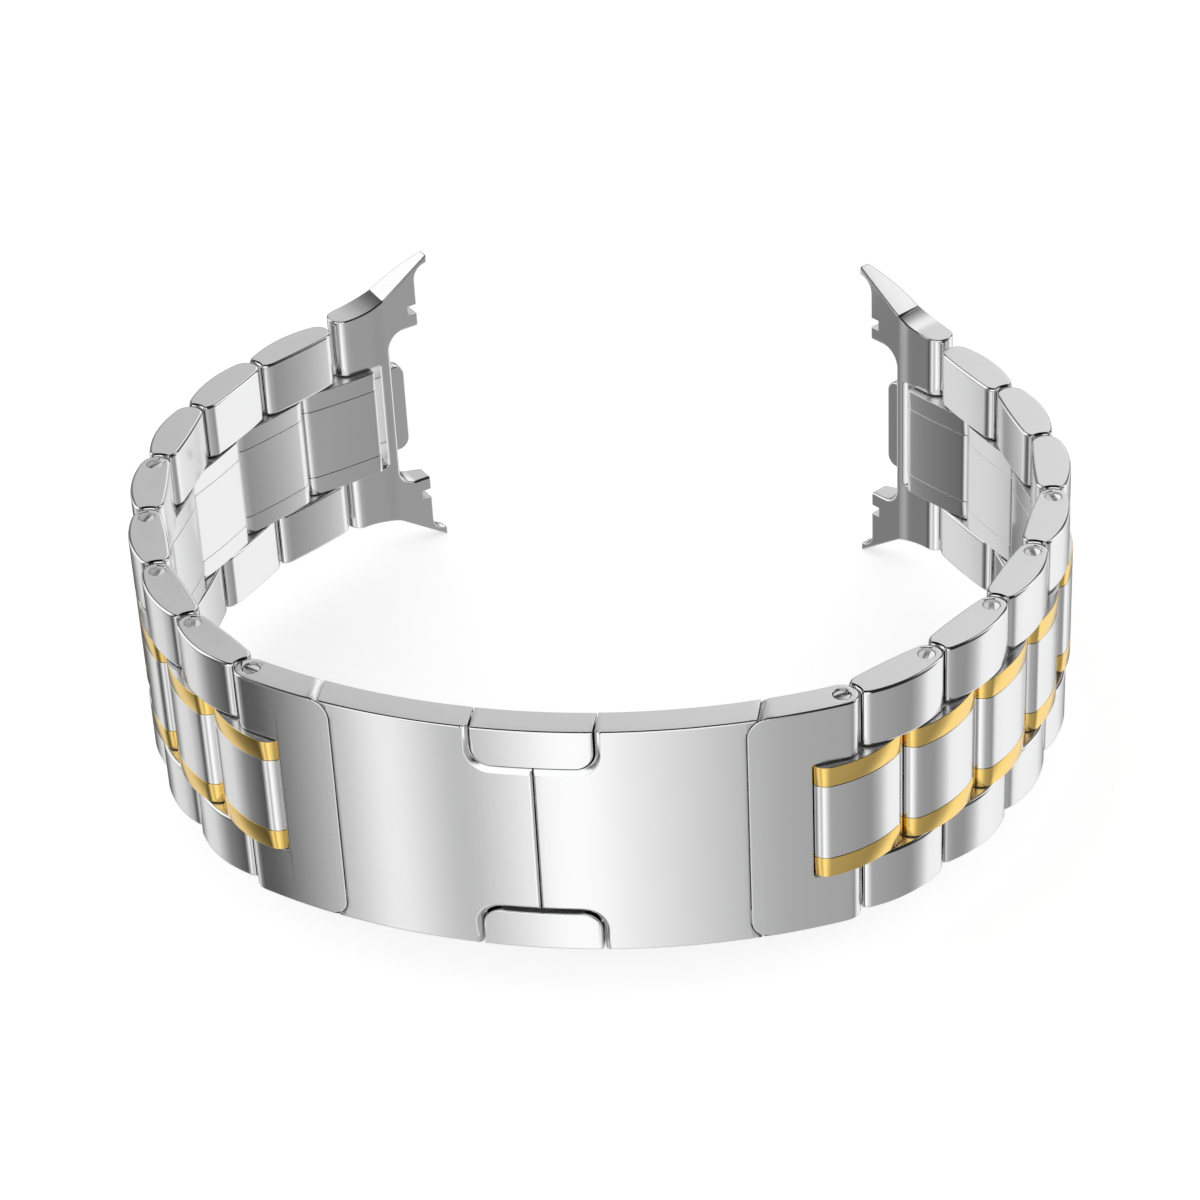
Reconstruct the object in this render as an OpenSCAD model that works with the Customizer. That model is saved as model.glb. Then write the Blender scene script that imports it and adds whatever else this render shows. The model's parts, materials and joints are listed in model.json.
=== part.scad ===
// Two-tone metal watch bracelet with solid links, flared end links and a folding push-button clasp.
// Plan: +X to the right, +Y from the clasp towards the watch, +Z up across the band's width.
// The bracelet stands on the lower horn tips of its end links, and its clasp faces -Y.

/* [Band] */
// Width of the band over its outer link pieces
band_w = 20; // [18:0.5:24]
// Width of the centre row
centre_w = 10; // [9:0.5:12]
// Width of each gold strip along the centre row's edges
gold_w = 1.7; // [1:0.1:2.2]
// Thickness of the gold strips
gold_t = 0.9; // [0.6:0.05:0.95]

/* [Links] */
// Distance from one hinge pin to the next
link_pitch = 8.12; // [8:0.02:8.4]
// Length of an outer piece between the centres of its round ends
side_len = 5.8; // [5.5:0.05:6]
// Radius of the round ends of the outer pieces
round_r = 1.25; // [1.15:0.01:1.28]
// Radius of the crowned outer face of the links
face_r = 10.2; // [9:0.1:14]
// Reach of a centre piece past its hinge pin, towards the clasp
knuckle_r = 2.9; // [2.7:0.05:3]
// Gap at a hinge between round end and cup
hinge_gap = 0.15; // [0.1:0.01:0.25]
// Gap between the centre row and the outer pieces
side_gap = 0.1; // [0.05:0.01:0.2]

/* [Pins] */
// Radius of the hinge pins
pin_r = 0.5; // [0.4:0.01:0.55]
// Running clearance of every hinge pin in its bore
pin_play = 0.05; // [0.02:0.01:0.08]
// Clearance of the pins and bars in the seats that hold them
seat_gap = 0.01; // [0.005:0.005:0.02]
// Radius of the slotted pin heads
head_r = 0.65; // [0.6:0.01:0.75]
// Ring gap around a pin head
head_gap = 0.06; // [0.04:0.01:0.1]
// Depth of a pin head below the side face
head_sink = 0.08; // [0.05:0.01:0.2]
// Depth of the counterbore that takes a pin head
head_seat = 1; // [0.8:0.1:1.5]
// Width of the screwdriver slot
slot_w = 0.3; // [0.2:0.05:0.4]
// Depth of the screwdriver slot
slot_t = 0.35; // [0.2:0.05:0.5]
// Radius of the bar that ties a centre piece to its outer pieces
bar_r = 0.55; // [0.45:0.01:0.58]
// Wall left outside the hidden ends of the pins and bars
pin_wall = 1; // [0.6:0.1:1.5]

/* [Rest bends] */
// Bend in degrees at the pins from the clasp to the widest place
front_bends = [18.4, 12.5, 13.2, 10.7]; // [5:0.1:25]
// Bend in degrees at the pins from the widest place to the end link
back_bends = [14.9, 16.6, 14.3, 13.2]; // [5:0.1:25]

/* [End links] */
// Half height of the end link where it meets the band
end_half = 10.5; // [10.1:0.1:12]
// Half height at the horn tips
horn_half = 14.3; // [13:0.1:16]
// Distance of the horn tips from the last hinge pin
horn_reach = 10.95; // [10.5:0.05:12]
// Height of the blunt edge of a horn tip
horn_edge = 0.4; // [0.3:0.05:0.6]
// Distance at which the top face starts to rise
flare_start = 4.6; // [4.2:0.1:5]
// Distance of the crease on the top face
crease_reach = 6.6; // [6.4:0.1:7.2]
// Half height at the crease
crease_half = 11.3; // [11.1:0.05:11.6]
// Hollow of the facet between crease and horn tip
facet_sag = 0.15; // [0.1:0.05:0.3]
// Distance of the ears' flat ends from the last hinge pin
ear_reach = 9.65; // [9.5:0.05:10.2]
// Half height at which the horn leaves the ear
ear_half = 12.2; // [12:0.1:12.6]
// Half height of the recess between the ears
recess_half = 7.7; // [7.2:0.1:8]
// Distance of the recess floor from the last hinge pin
recess_reach = 6.7; // [6.5:0.05:6.9]
// Corner radius of the recess
recess_r = 1.6; // [1:0.1:2]
// Half height of the ear notches' middle
notch_half = 9.4; // [9:0.1:9.8]
// Height of the ear notches
notch_h = 1.1; // [0.8:0.05:1.3]
// Depth of the ear notches
notch_t = 0.9; // [0.7:0.05:1.2]
// Length of the tongue past the recess floor
tongue_len = 1.4; // [1:0.05:1.6]
// Half height of the tongue
tongue_half = 4.2; // [4:0.1:5]
// Thickness of the tongue
tongue_t = 1.2; // [0.9:0.05:1.4]
// Corner radius of the tongue
tongue_r = 1; // [0.6:0.1:1.2]
// Distance of the end link's round near end from the last hinge pin
end_start = 1.6; // [1.55:0.01:1.8]
// Radius of the end link's round near end
end_round_r = 1.25; // [1.15:0.01:1.3]
// Distance of the inner face from the hinge line
end_flat = 0.65; // [0.6:0.01:0.75]
// Radius of the crowned outer face
end_face_r = 10.8; // [10:0.1:12]
// Distance of the crown's middle from the last hinge pin
end_crown = 5.2; // [5:0.05:5.4]
// Distance of the notch wall that the centre piece meets
end_wall = 4.8; // [4.6:0.05:5]
// Width of the slope on the notch wall's inner side
end_slope = 0.95; // [0.5:0.05:1]

/* [Clasp] */
// Radius of the clasp's outer face
clasp_r = 51.2; // [40:0.2:70]
// Thickness of the clasp's side walls
clasp_t = 2.6; // [2.5:0.05:2.9]
// Distance of the last hinge pin from the clasp's middle
clasp_half = 22; // [21.5:0.1:23]
// Distance of the seam between cover and clasp end
seam_x = 15.4; // [15.3:0.05:15.8]
// Corner radius of the clasp end at the seam
seam_r = 1.55; // [1.2:0.05:1.8]
// Width of the seams
seam_gap = 0.1; // [0.06:0.01:0.15]
// Thickness of the cover plates
cover_t = 0.9; // [0.8:0.05:0.95]
// Thickness of the covers' side walls
skirt_t = 1; // [0.8:0.05:1.1]
// Depth at which the hinge pins of the blades lie below the outer face
fold_depth = 1.75; // [1.7:0.01:1.8]
// Distance of the cover's hinge pin from the middle
fold_in_x = 5.2; // [5.15:0.05:5.4]
// Distance of the base's hinge pin from the middle
fold_out_x = 13.4; // [13.2:0.05:13.5]
// Radius of the hinge knuckles
fold_r = 0.7; // [0.6:0.01:0.72]
// Radius of the fold hinge pins
fold_pin_r = 0.35; // [0.3:0.01:0.4]
// Thickness of the blades
blade_t = 0.9; // [0.6:0.05:0.95]
// Half width of the blades
blade_half = 8; // [7:0.1:8.4]
// Half width of the blade knuckle at the cover
blade_in_half = 2; // [1.5:0.1:2.2]
// Half width of the blade knuckle at the base
blade_out_half = 4; // [3:0.1:5]
// Length of each lug of the cover's hinge
cover_lug = 2.7; // [2:0.1:3]
// Gap between the knuckles of a hinge, along its pin
fold_gap = 0.1; // [0.05:0.01:0.2]
// Thickness of the base plate
base_t = 1; // [0.8:0.05:1.2]
// Depth of the base plate below the outer face
base_depth = 2.7; // [2.68:0.01:2.8]
// Half width of the base plate
base_half = 8.8; // [8.6:0.05:8.85]
// Clearance between the base and the covers' side walls
base_gap = 0.15; // [0.1:0.05:0.2]
// Thickness of the tang that joins a clasp end to its cover
tang_t = 1.2; // [1:0.1:1.5]
// Length of the tang
tang_len = 1.05; // [0.8:0.05:1.05]

/* [Buttons] */
// Half width of each button along the clasp
button_half = 4.5; // [4.3:0.05:4.6]
// Height of each button across the band
button_h = 3.3; // [3:0.1:3.6]
// Way that a button travels
button_travel = 0.6; // [0.5:0.05:0.7]
// Clearance left behind a pressed button
button_stop = 0.1; // [0.05:0.05:0.2]
// Gap beside a button
button_gap = 0.15; // [0.1:0.01:0.2]
// Corner radius of the button's recess in the covers
button_r = 1.6; // [1.2:0.1:1.8]
// Half width of the button's tongue
slider_half = 3.5; // [3.2:0.1:3.55]
// Thickness of the button's tongue
slider_t = 0.4; // [0.3:0.05:0.45]
// Depth of the button's tongue below the outer face
slider_depth = 2.08; // [2.05:0.01:2.12]
// Distance of the hooks from the clasp's middle plane
hook_start = 2.6; // [2.4:0.1:2.8]
// Thickness of the hooks and catches
hook_t = 0.5; // [0.4:0.05:0.55]
// Thickness of the hooks' lips
lip_t = 0.35; // [0.3:0.01:0.38]
// Depth of the hooks' lips below the outer face
lip_depth = 1.1; // [1:0.05:1.15]
// Width of each cover's catch
catch_w = 2.8; // [2:0.1:3]
// Radius of the spring between the buttons
spring_r = 0.45; // [0.35:0.01:0.48]

/* [Hidden] */
$fn = 96;
sides = ["left", "right"];
link_count = 7;
first_screw_pin = 4;
half_w = band_w / 2;
centre_half = centre_w / 2;
slack = 0.1;
over = 1;
side_in = centre_half + side_gap;
pin_end = half_w - pin_wall;
cup_r = round_r + hinge_gap;
socket_r = knuckle_r + hinge_gap;
centre_reach = link_pitch - socket_r;
bar_x = (centre_reach + cup_r) / 2;
centre_start = round_r - knuckle_r;
end_centre_reach = end_wall - hinge_gap;
end_bar_x = (end_start + end_centre_reach) / 2;
lean = asin(side_len / 2 / (face_r - round_r));
face_y = (face_r - round_r) * cos(lean);

// Hinge pins and headings of the right side, numbered from the end link (1) to the clasp (8)
bends = concat(front_bends, back_bends);
clasp_mid_r = clasp_r - clasp_t / 2;
clasp_angle = asin(clasp_half / clasp_mid_r);
function heading(i) = i == link_count + 1 ? clasp_angle : heading(i + 1) + bends[link_count - i];
function pin_at(i) = i == link_count + 1
    ? [clasp_half, clasp_r - clasp_mid_r * cos(clasp_angle)]
    : pin_at(i + 1) + link_pitch * [cos(heading(i)), sin(heading(i))];

// The end link's outer face
end_near = [end_start + end_round_r, end_flat - end_round_r];
end_lean = asin((end_crown - end_near[0]) / (end_face_r - end_round_r));
end_face_y = end_near[1] + (end_face_r - end_round_r) * cos(end_lean);
tip_out = sqrt(end_face_r ^ 2 - (horn_reach - end_crown) ^ 2) - end_face_y;
depth = pin_at(1)[1] + horn_reach * sin(heading(0)) - tip_out * cos(heading(0));

// The top of the end link
flare_r = ((crease_reach - flare_start) ^ 2 + (crease_half - end_half) ^ 2) / 2 / (crease_half - end_half);
facet = [horn_reach - crease_reach, horn_half - crease_half];
facet_mid = [horn_reach + crease_reach, horn_half + crease_half] / 2;
facet_r = (norm(facet) ^ 2 / 4 + facet_sag ^ 2) / 2 / facet_sag;
facet_centre = facet_mid + (facet_r - facet_sag) * [-facet[1], facet[0]] / norm(facet);
horn_t = [horn_reach - ear_reach, horn_half - horn_edge - ear_half];
horn_r = norm(horn_t) ^ 2 / 2 / horn_t[0];

// The clasp's hinges and latch
function arc_at(x, d) = [x, clasp_r - sqrt((clasp_r - d) ^ 2 - x ^ 2)];
fold_in = arc_at(fold_in_x, fold_depth);
fold_out = arc_at(fold_out_x, fold_depth);
knuckle_gap = 0.15;
button_in = half_w - button_h;
recess_in = button_in - button_travel - button_stop;
recess_x = button_half + button_gap;
catch_x = 0.6;
catch_gap = 0.18;
catch_depth = slider_depth - catch_gap;
catch_free = 0.25;
catch_in = hook_start + hook_t + lip_t + catch_free;
rail_x = slider_half + slack;
rail_t = 0.6;
rail_half = 5;
floor_t = 0.14;

// Puts a piece that is drawn for the right side, about the middle plane of the band, on its side
module on_side(s) {
    translate([0, -depth / 2, horn_half])
        mirror([s == "left" ? 1 : 0, 0, 0]) children();
}

// Puts a piece at hinge pin i along heading h: local +X leads away from the clasp, -Y outwards
module at_pin(i, h) {
    translate([pin_at(i)[0], pin_at(i)[1], 0]) rotate([0, 0, heading(h)]) children();
}

// Draws an outline between two heights, above and below the middle plane
module pair(low, high) {
    for (m = [0, 1]) mirror([0, 0, m]) translate([0, 0, low]) linear_extrude(height = high - low) children();
}

// Draws an outline over a full width
module across(half) {
    linear_extrude(height = 2 * half, center = true) children();
}

// Draws a front view, in X and Z, right through the band
module through_front() {
    rotate([90, 0, 0]) linear_extrude(height = 4 * clasp_r, center = true) children();
}

module rod(r, low, high) {
    translate([0, 0, low]) cylinder(r = r, h = high - low);
}

// A pin with its hidden end at -pin_end; a screw pin has a slotted head at the upper side face
module hinge_pin(screw) {
    color("silver") difference() {
        union() {
            rod(pin_r, -pin_end + slack, pin_end - slack);
            if (screw) {
                rod(pin_r, 0, half_w - head_sink);
                rod(head_r, half_w - head_seat, half_w - head_sink);
            }
        }
        if (screw)
            translate([0, 0, half_w - head_sink]) rotate([0, 0, 35])
                cube([3 * head_r, slot_w, 2 * slot_t], center = true);
    }
}

module pin_bores(screw) {
    rod(pin_r + seat_gap, -pin_end, pin_end);
    if (screw) rod(head_r + head_gap, half_w - head_seat - slack, half_w + over);
}

// The side view that all links share: two round ends, a flat inner face and a crowned outer face
module link_outline() {
    reach = face_r * [sin(lean), cos(lean)];
    circle(r = round_r);
    translate([side_len, 0]) circle(r = round_r);
    square([side_len, round_r]);
    intersection() {
        translate([side_len / 2, face_y]) circle(r = face_r);
        polygon([[0, 0], [-reach[0], -reach[1]], [side_len + reach[0], -reach[1]], [side_len, 0]]);
    }
}

// An outer piece about the hinge pin in its round end, with a cup for the next round end
module side_outline() {
    difference() {
        mirror([1, 0]) link_outline();
        translate([-link_pitch, 0]) circle(r = cup_r);
    }
}

// A centre piece about its own hinge pin, with a cup for the next centre piece
module centre_outline() {
    difference() {
        translate([centre_start, 0]) link_outline();
        translate([link_pitch, 0]) circle(r = socket_r);
    }
}

// The first centre piece, which ends square against the end link
module end_centre_outline() {
    intersection() {
        translate([centre_start, 0]) link_outline();
        translate([-knuckle_r, -knuckle_r]) square([end_centre_reach + knuckle_r, 2 * knuckle_r]);
    }
}

module gold_zone() {
    difference() {
        square(4 * link_pitch, center = true);
        translate([centre_start + side_len / 2, face_y]) circle(r = face_r - gold_t);
    }
}

module link_sides(i) {
    screw = i >= first_screw_pin;
    color("gainsboro") difference() {
        pair(side_in, half_w) side_outline();
        pin_bores(screw);
        translate([bar_x - link_pitch, 0, 0]) rod(bar_r + seat_gap, -pin_end, pin_end);
    }
    hinge_pin(screw);
    color("silver") translate([bar_x - link_pitch, 0, 0]) rod(bar_r, -pin_end + slack, pin_end - slack);
}

// The steel core, with a rebate for the gold strips and bores for the hinge pin and the bar
module centre_core(bar) {
    color("lightgray") difference() {
        across(centre_half) children();
        pair(centre_half - gold_w, centre_half + over) gold_zone();
        rod(pin_r + pin_play, -half_w, half_w);
        translate([bar, 0, 0]) rod(bar_r + seat_gap, -half_w, half_w);
    }
}

module gold_strips() {
    color("goldenrod") pair(centre_half - gold_w, centre_half) intersection() {
        children();
        gold_zone();
    }
}

module link_centre() {
    centre_core(bar_x) centre_outline();
}

module link_gold() {
    gold_strips() centre_outline();
}

module end_centre() {
    centre_core(end_bar_x) end_centre_outline();
}

module end_gold() {
    gold_strips() end_centre_outline();
}

// The end link's side view: round near end, flat inner face and crowned outer face
module end_outline() {
    reach = end_face_r * [sin(end_lean), cos(end_lean)];
    translate(end_near) circle(r = end_round_r);
    intersection() {
        translate([end_crown, end_face_y]) circle(r = end_face_r);
        polygon([end_near, end_near - reach, [horn_reach, end_near[1] - reach[1]],
            [horn_reach, end_flat], [end_near[0], end_flat]]);
    }
}

// The upper half of the end link, seen square to its outer face
module end_profile() {
    difference() {
        polygon([[0, 0], [0, end_half], [flare_start, end_half], [crease_reach, crease_half],
            [horn_reach, horn_half], [horn_reach, horn_half - horn_edge], [ear_reach, ear_half], [ear_reach, 0]]);
        translate([flare_start, end_half + flare_r]) circle(r = flare_r);
        intersection() {
            translate(facet_centre) circle(r = facet_r);
            translate([crease_reach, end_half]) square(2 * horn_reach);
        }
        intersection() {
            translate([ear_reach + horn_r, ear_half]) circle(r = horn_r);
            translate([ear_reach, ear_half]) square([horn_r, horn_t[1]]);
        }
        translate([ear_reach - notch_t + notch_h / 2, notch_half]) circle(d = notch_h);
        translate([ear_reach - notch_t + notch_h / 2, notch_half - notch_h / 2]) square([notch_t, notch_h]);
        translate([recess_reach, -over]) square([horn_reach, recess_half - recess_r + over]);
        translate([recess_reach + recess_r, -over]) square([horn_reach, recess_half + over]);
        translate([recess_reach + recess_r, recess_half - recess_r]) circle(r = recess_r);
    }
}

module end_tongue_profile() {
    reach = recess_reach + tongue_len;
    translate([end_wall + end_slope, -tongue_half]) square([reach - tongue_r - end_wall - end_slope, 2 * tongue_half]);
    translate([end_wall + end_slope, tongue_r - tongue_half])
        square([reach - end_wall - end_slope, 2 * (tongue_half - tongue_r)]);
    for (m = [-1, 1]) translate([reach - tongue_r, m * (tongue_half - tongue_r)]) circle(r = tongue_r);
}

module end_link() {
    color("gainsboro") difference() {
        union() {
            intersection() {
                across(horn_half + over) end_outline();
                through_front() for (m = [0, 1]) mirror([0, m]) end_profile();
            }
            translate([0, -tongue_t / 2 + 0.1, 0]) intersection() {
                through_front() end_tongue_profile();
                cube([4 * horn_reach, tongue_t, 4 * horn_half], center = true);
            }
        }
        across(side_in) polygon([[-link_pitch, -link_pitch], [end_wall, -link_pitch], [end_wall, end_flat - end_slope],
            [end_wall + end_slope, end_flat], [end_wall + end_slope, link_pitch], [-link_pitch, link_pitch]]);
        translate([end_bar_x, 0, 0]) rod(bar_r + seat_gap, -pin_end, pin_end);
    }
    color("silver") translate([end_bar_x, 0, 0]) rod(bar_r, -pin_end + slack, pin_end - slack);
}

// A band of the clasp's arc between two depths below the outer face and two distances from the middle
module arc_band(d_out, d_in, x_low, x_high) {
    intersection() {
        difference() {
            translate([0, clasp_r]) circle(r = clasp_r - d_out, $fn = 360);
            translate([0, clasp_r]) circle(r = clasp_r - d_in, $fn = 360);
        }
        translate([x_low, -clasp_t]) square([x_high - x_low, clasp_r]);
    }
}

// The clasp end's front view, grown by a gap: its corners are rounded at the seam
module clasp_end_front(grow) {
    translate([seam_x + seam_gap / 2 - grow, seam_r - half_w]) square([clasp_half, band_w - 2 * seam_r]);
    translate([seam_x + seam_gap / 2 + seam_r, -half_w - grow]) square([clasp_half, band_w + 2 * grow]);
    for (m = [-1, 1])
        translate([seam_x + seam_gap / 2 + seam_r, m * (half_w - seam_r)]) circle(r = seam_r + grow);
}

module clasp_end() {
    tip = pin_at(link_count + 1);
    out = [sin(clasp_angle), -cos(clasp_angle)];
    color("gainsboro") difference() {
        union() {
            intersection() {
                across(half_w) {
                    intersection() {
                        arc_band(0, clasp_t, 0, clasp_half + clasp_t);
                        polygon([[0, -clasp_t], [0, clasp_half], tip - 2 * clasp_t * out, tip + 2 * clasp_t * out]);
                    }
                    translate(tip) circle(d = clasp_t);
                }
                through_front() clasp_end_front(0);
            }
            across(blade_half)
                arc_band(cover_t, cover_t + tang_t, seam_x - tang_len, seam_x + seam_r);
        }
        translate([tip[0], tip[1], -side_in]) cylinder(r = socket_r, h = 2 * side_in);
        translate(tip) pin_bores(true);
    }
    translate(tip) hinge_pin(true);
}

module cover_front() {
    difference() {
        translate([seam_gap / 2, -half_w]) square([seam_x + seam_r, band_w]);
        clasp_end_front(seam_gap);
        for (m = [0, 1]) mirror([0, m]) {
            translate([-over, recess_in]) square([recess_x - button_r + over, half_w]);
            translate([-over, recess_in + button_r]) square([recess_x + over, half_w]);
            translate([recess_x - button_r, recess_in + button_r]) circle(r = button_r);
        }
    }
}

module fold_knuckle(at, to_depth) {
    translate(at) circle(r = fold_r);
    arc_band(min(fold_depth, to_depth), max(fold_depth, to_depth), at[0] - fold_r, at[0] + fold_r);
}

module cover() {
    lug_in = blade_in_half + fold_gap;
    color("whitesmoke") difference() {
        union() {
            intersection() {
                union() {
                    across(half_w) arc_band(0, cover_t, 0, clasp_half);
                    pair(half_w - skirt_t, half_w) arc_band(0, clasp_t, 0, clasp_half);
                }
                through_front() cover_front();
            }
            pair(lug_in, lug_in + cover_lug) fold_knuckle(fold_in, cover_t / 2);
            pair(catch_in + hook_t, catch_in + hook_t + 2 * lip_t)
                arc_band(cover_t / 2, catch_depth, catch_x, catch_x + catch_w);
            pair(catch_in, catch_in + 2 * hook_t)
                arc_band(catch_depth - lip_t, catch_depth, catch_x, catch_x + catch_w);
        }
        translate(fold_in) rod(fold_pin_r + seat_gap, -lug_in - cover_lug + slack, lug_in + cover_lug - slack);
        across(base_half + base_gap) {
            translate(fold_out) circle(r = fold_r + slack);
            arc_band(fold_depth, clasp_t + over, fold_out[0] - fold_r - slack, fold_out[0] + fold_r + slack);
        }
    }
    color("silver") translate(fold_in)
        rod(fold_pin_r, -lug_in - cover_lug + 2 * slack, lug_in + cover_lug - 2 * slack);
}

module blade() {
    out_depth = fold_depth - blade_t / 2;
    in_depth = fold_depth + blade_t / 2;
    clear = fold_r + knuckle_gap;
    color("silver") difference() {
        union() {
            across(blade_half) arc_band(out_depth, in_depth, fold_in_x + clear, fold_out_x - clear);
            across(blade_in_half) {
                translate(fold_in) circle(r = fold_r);
                arc_band(out_depth, in_depth, fold_in_x, fold_in_x + 2 * clear);
            }
            across(blade_out_half) {
                translate(fold_out) circle(r = fold_r);
                arc_band(out_depth, in_depth, fold_out_x - 2 * clear, fold_out_x);
            }
        }
        translate(fold_in) rod(fold_pin_r + pin_play, -half_w, half_w);
        translate(fold_out) rod(fold_pin_r + pin_play, -half_w, half_w);
    }
}

module clasp_base() {
    color("gray") difference() {
        union() {
            across(base_half)
                arc_band(base_depth, base_depth + base_t, -fold_out_x - fold_r, fold_out_x + fold_r);
            for (m = [0, 1]) mirror([m, 0, 0])
                pair(blade_out_half + fold_gap, base_half) fold_knuckle(fold_out, base_depth + base_t / 2);
        }
        for (m = [0, 1]) mirror([m, 0, 0])
            translate(fold_out) rod(fold_pin_r + seat_gap, -base_half + slack, base_half - slack);
    }
}

module base_hinge_pins() {
    color("silver") for (m = [0, 1]) mirror([m, 0, 0])
        translate(fold_out) rod(fold_pin_r, -base_half + 2 * slack, base_half - 2 * slack);
}

// A channel that guides the tongues of both buttons
module latch_housing() {
    color("darkgray") across(rail_half) {
        arc_band(base_depth - floor_t, base_depth, -rail_x - rail_t, rail_x + rail_t);
        for (x = [-rail_x - rail_t, rail_x])
            arc_band(catch_depth + slack, base_depth, x, x + rail_t);
    }
}

// The upper button with its tongue and the hook that holds both covers
module button() {
    corner = button_r - button_gap;
    color("whitesmoke") union() {
        intersection() {
            pair(button_in, half_w) arc_band(0, clasp_t - slack / 2, -button_half, button_half);
            through_front() {
                translate([-button_half, button_in + corner]) square([2 * button_half, half_w]);
                translate([corner - button_half, button_in]) square([2 * (button_half - corner), half_w]);
                for (m = [-1, 1])
                    translate([m * (button_half - corner), button_in + corner]) circle(r = corner);
            }
        }
        translate([0, 0, hook_start]) linear_extrude(height = button_in - hook_start + corner)
            arc_band(slider_depth, slider_depth + slider_t, -slider_half, slider_half);
        translate([0, 0, hook_start]) linear_extrude(height = hook_t)
            arc_band(lip_depth, slider_depth + slider_t, -slider_half, slider_half);
        translate([0, 0, hook_start]) linear_extrude(height = hook_t + lip_t)
            arc_band(lip_depth, lip_depth + lip_t, -slider_half, slider_half);
    }
}

module button_spring() {
    at = arc_at(0, base_depth - floor_t - slack / 2 - spring_r);
    color("dimgray") translate(at) difference() {
        rod(spring_r, -hook_start, hook_start);
        rod(spring_r / 2, -hook_start - over, hook_start + over);
    }
}

for (s = sides, i = [1:link_count]) {
    name = str(s, "_link_", i);
    on_side(s) at_pin(i, i) link_sides(i);
    on_side(s) at_pin(i + 1, i) link_centre();
    on_side(s) at_pin(i + 1, i) link_gold();
}
for (s = sides) {
    on_side(s) at_pin(1, 0) end_link();
    on_side(s) at_pin(1, 0) end_centre();
    on_side(s) at_pin(1, 0) end_gold();
    on_side(s) clasp_end();
    on_side(s) cover();
    on_side(s) blade();
}
on_side("right") clasp_base();
on_side("right") base_hinge_pins();
on_side("right") latch_housing();
on_side("right") button();  // top_button
on_side("right") mirror([0, 0, 1]) button();  // bottom_button
on_side("right") button_spring();
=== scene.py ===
import bmesh
import bpy
import json
from math import asin, atan2, cos, pi, radians, sin, sqrt
from mathutils import Euler, Matrix, Vector


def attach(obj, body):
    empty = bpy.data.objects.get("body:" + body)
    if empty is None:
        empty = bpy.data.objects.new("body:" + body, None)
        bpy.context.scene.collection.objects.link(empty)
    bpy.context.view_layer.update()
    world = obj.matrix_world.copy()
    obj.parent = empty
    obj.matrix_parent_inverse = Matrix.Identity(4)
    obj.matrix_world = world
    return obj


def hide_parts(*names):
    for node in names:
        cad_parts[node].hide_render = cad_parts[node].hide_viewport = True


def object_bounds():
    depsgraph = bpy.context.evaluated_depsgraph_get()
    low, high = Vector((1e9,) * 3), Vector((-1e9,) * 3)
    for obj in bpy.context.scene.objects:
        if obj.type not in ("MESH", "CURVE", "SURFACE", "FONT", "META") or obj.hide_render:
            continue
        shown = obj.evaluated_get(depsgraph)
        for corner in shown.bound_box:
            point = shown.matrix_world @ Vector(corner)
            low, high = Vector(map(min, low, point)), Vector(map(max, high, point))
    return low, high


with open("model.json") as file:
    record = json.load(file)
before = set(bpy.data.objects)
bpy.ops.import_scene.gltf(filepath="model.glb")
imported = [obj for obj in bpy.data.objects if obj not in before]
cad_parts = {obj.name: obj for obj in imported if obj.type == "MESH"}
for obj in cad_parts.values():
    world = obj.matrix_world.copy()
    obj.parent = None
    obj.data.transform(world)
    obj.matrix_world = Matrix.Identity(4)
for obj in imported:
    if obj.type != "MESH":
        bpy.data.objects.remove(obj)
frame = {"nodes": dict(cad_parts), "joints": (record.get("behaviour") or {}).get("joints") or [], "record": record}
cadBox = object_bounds()
mm = 0.001
nodes = frame["nodes"]
hinges = {j["child"]: Vector(j["pos_m"]) for j in frame["joints"] if "pos_m" in j}
middle = hinges["left_link_7"].z
sides = ("left", "right")


# Camera, at the photograph's angle
cameraView = {"place": (42.0, -245.8, 179.5), "azimuth": 9.65, "elevation": 33.5, "roll": -3.03,
              "lens": 111.2, "sensor": 36, "nearest": 0.01}


def makeCamera(view):
    lens = bpy.data.cameras.new("camera")
    lens.lens = view["lens"]
    lens.sensor_width = view["sensor"]
    lens.clip_start = view["nearest"]
    camera = bpy.data.objects.new("camera", lens)
    bpy.context.scene.collection.objects.link(camera)
    turn = Matrix.Rotation(radians(view["azimuth"]), 4, "Z")
    tilt = Matrix.Rotation(radians(90 - view["elevation"]), 4, "X")
    roll = Matrix.Rotation(radians(view["roll"]), 4, "Z")
    camera.matrix_world = Matrix.Translation(Vector(view["place"]) * mm) @ (turn @ tilt) @ roll
    bpy.context.scene.camera = camera


makeCamera(cameraView)
bpy.context.scene.view_settings.view_transform = "Standard"
print("camera ready")


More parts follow.
